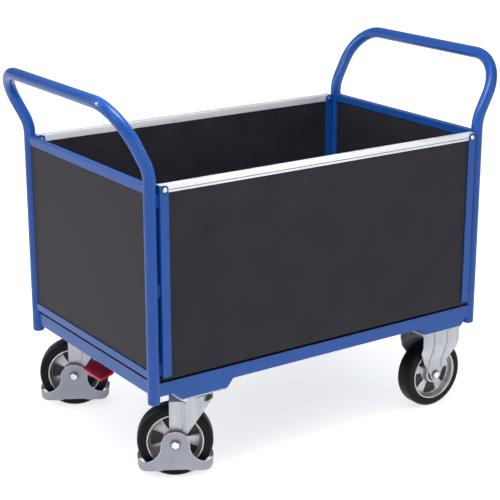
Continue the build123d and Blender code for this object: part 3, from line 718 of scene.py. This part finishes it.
def weldLoop(node, postX, postY, name):
    # bead round a bar's square end, where it meets the round post
    low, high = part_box(node)
    corners = [(low.x, low.z), (high.x, low.z), (high.x, high.z), (low.x, high.z)]
    side = 1 if postY > 0 else -1
    steps = weld["steps"]
    points = []
    for (x0, z0), (x1, z1) in zip(corners, corners[1:] + corners[:1]):
        for k in range(steps):
            x, z = x0 + (x1 - x0) * k / steps, z0 + (z1 - z0) * k / steps
            offset = min(abs(x - postX), weld["postRadius"] * weld["reach"])
            drop = math.sqrt(weld["postRadius"] ** 2 - offset ** 2)
            points.append((x, postY - side * (drop - weld["sink"]), z))
    return beadAlong(points, weld["radius"], True, name, 1)


for end in ends:
    barLow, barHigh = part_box(end + "_top_crossbar")
    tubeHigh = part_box(end + "_handle_tube")[1]
    postX, postY = (barLow.x + barHigh.x) / 2, tubeHigh.y - weld["postRadius"]
    beads = []
    for bar in ("top_crossbar", "bottom_crossbar"):
        for sy in (-1, 1):
            beads.append(weldLoop(end + "_" + bar, postX, sy * postY, end + bar + "Bead"))
    beadSet = joined(beads, end + "WeldBeads")
    cleanUp(beadSet, 50)
    finishPiece(beadSet, powderCoat, "chassis")
print("weld beads done")


# dark strips between the rails and the walls: painted shade in the narrow gap under the walls
paintedShade = {"thick": 0.001, "inset": 0.0008, "edge": 0.0003}


def paintedShadeStrip(rail, name):
    # thin dark strip along the top of a rail, under the wall, painted as the shade there
    low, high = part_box(rail)
    size = Vector((high.x - low.x - 2 * paintedShade["inset"], high.y - low.y - 2 * paintedShade["inset"],
                   paintedShade["thick"]))
    middle = Vector(((low.x + high.x) / 2, (low.y + high.y) / 2, high.z + paintedShade["thick"] / 2))
    block(size, middle)
    strip = named(name)
    softenEdges(strip, paintedShade["edge"], 2, 60)
    return strip


railSides = ("front_side", "rear_side", "left_end", "right_end")
paintedShadeSet = joined([paintedShadeStrip(side + "_rail", side + "Seal") for side in railSides],
                 "railPaintedShadeStrips")
cleanUp(paintedShadeSet, 40)
finishPiece(paintedShadeSet, paintedShadeBlack, "chassis")
print("seal strips done")


# floor, light and camera

deselectAll()
studio = {"floorSize": 60, "floorDrop": 0.0005, "floorGlow": 0.70}
bpy.ops.mesh.primitive_plane_add(size=studio["floorSize"], location=(0, 0, -studio["floorDrop"]))
floor = named("studioFloor")
floorPaint, floorTree, floorShader = newMaterial(
    "studioFloorPaint", Roughness=0.9, Emission_Color=(1, 1, 1, 1),
    Emission_Strength=studio["floorGlow"], Specular_IOR_Level=0.0)
floorPatch = noiseNode(floorTree, 0.8, 2, 0.5)
floorTone = rampNode(floorTree, floorPatch.outputs["Fac"],
                     [(0.3, (0.93, 0.93, 0.935)), (0.7, (0.95, 0.95, 0.955))])
floorTree.links.new(floorTone.outputs["Color"], floorShader.inputs["Base Color"])
floor.data.materials.append(floorPaint)

world = bpy.data.worlds.new("studioAir")
bpy.context.scene.world = world
world.use_nodes = True
air = world.node_tree
airCoords = air.nodes.new("ShaderNodeTexCoord")
airSplit = air.nodes.new("ShaderNodeSeparateXYZ")
air.links.new(airCoords.outputs["Generated"], airSplit.inputs["Vector"])
# lighter at the horizon and overhead, darker between
airTone = rampNode(air, airSplit.outputs["Z"],
                   [(0.0, (0.62, 0.63, 0.65)), (0.12, (0.26, 0.27, 0.29)),
                    (0.35, (0.26, 0.27, 0.29)), (0.75, (0.55, 0.56, 0.58))])
air.links.new(airTone.outputs["Color"], air.nodes["Background"].inputs["Color"])
air.nodes["Background"].inputs["Strength"].default_value = 1.0

softboxes = {
    # name: place, aimed at, width, height, watts
    "topSoftbox": ((-0.6, -0.8, 3.6), (0, 0, 0.5), 2.2, 2.2, 22),
    "leftSoftbox": ((-4.0, -1.4, 2.4), (0, 0, 0.6), 1.8, 1.8, 26),
    "rightStrip": ((1.5, -2.7, 1.25), (-0.5, -0.3, 0.9), 0.10, 1.7, 13),
    "insideFill": ((-0.35, -0.45, 1.75), (0.15, 0.25, 0.5), 0.6, 0.6, 14),
    "leftStrip": ((-3.0, 1.6, 2.2), (0, 0, 0.9), 0.08, 2.8, 110),
}
for name, (place, aim, width, height, power) in softboxes.items():
    bpy.ops.object.light_add(type="AREA", location=place)
    lamp = bpy.context.object
    lamp.name = name
    lamp.data.shape = "RECTANGLE"
    lamp.data.size, lamp.data.size_y = width, height
    lamp.data.energy = power
    # the strips only show as streaks in glossy surfaces
    lamp.visible_diffuse = "Strip" not in name
    lamp.rotation_mode = "QUATERNION"
    lamp.rotation_quaternion = (Vector(aim) - Vector(place)).to_track_quat("-Z", "Y")

viewer = {"place": (-2.2094, -3.2070, 1.6987), "yaw": 0.59966, "pitch": 0.30520,
          "lens": 103.596, "sensor": 36, "farClip": 100}
bpy.ops.object.camera_add(location=viewer["place"])
camera = bpy.context.object
camera.data.lens = viewer["lens"]
camera.data.sensor_width = viewer["sensor"]
camera.data.clip_end = viewer["farClip"]
flat = math.cos(viewer["pitch"])
look = Vector((math.sin(viewer["yaw"]) * flat, math.cos(viewer["yaw"]) * flat,
               -math.sin(viewer["pitch"])))
camera.rotation_mode = "QUATERNION"
camera.rotation_quaternion = look.to_track_quat("-Z", "Y")
bpy.context.scene.camera = camera
bpy.context.scene.view_settings.view_transform = "Standard"
print("stage, light and camera done")
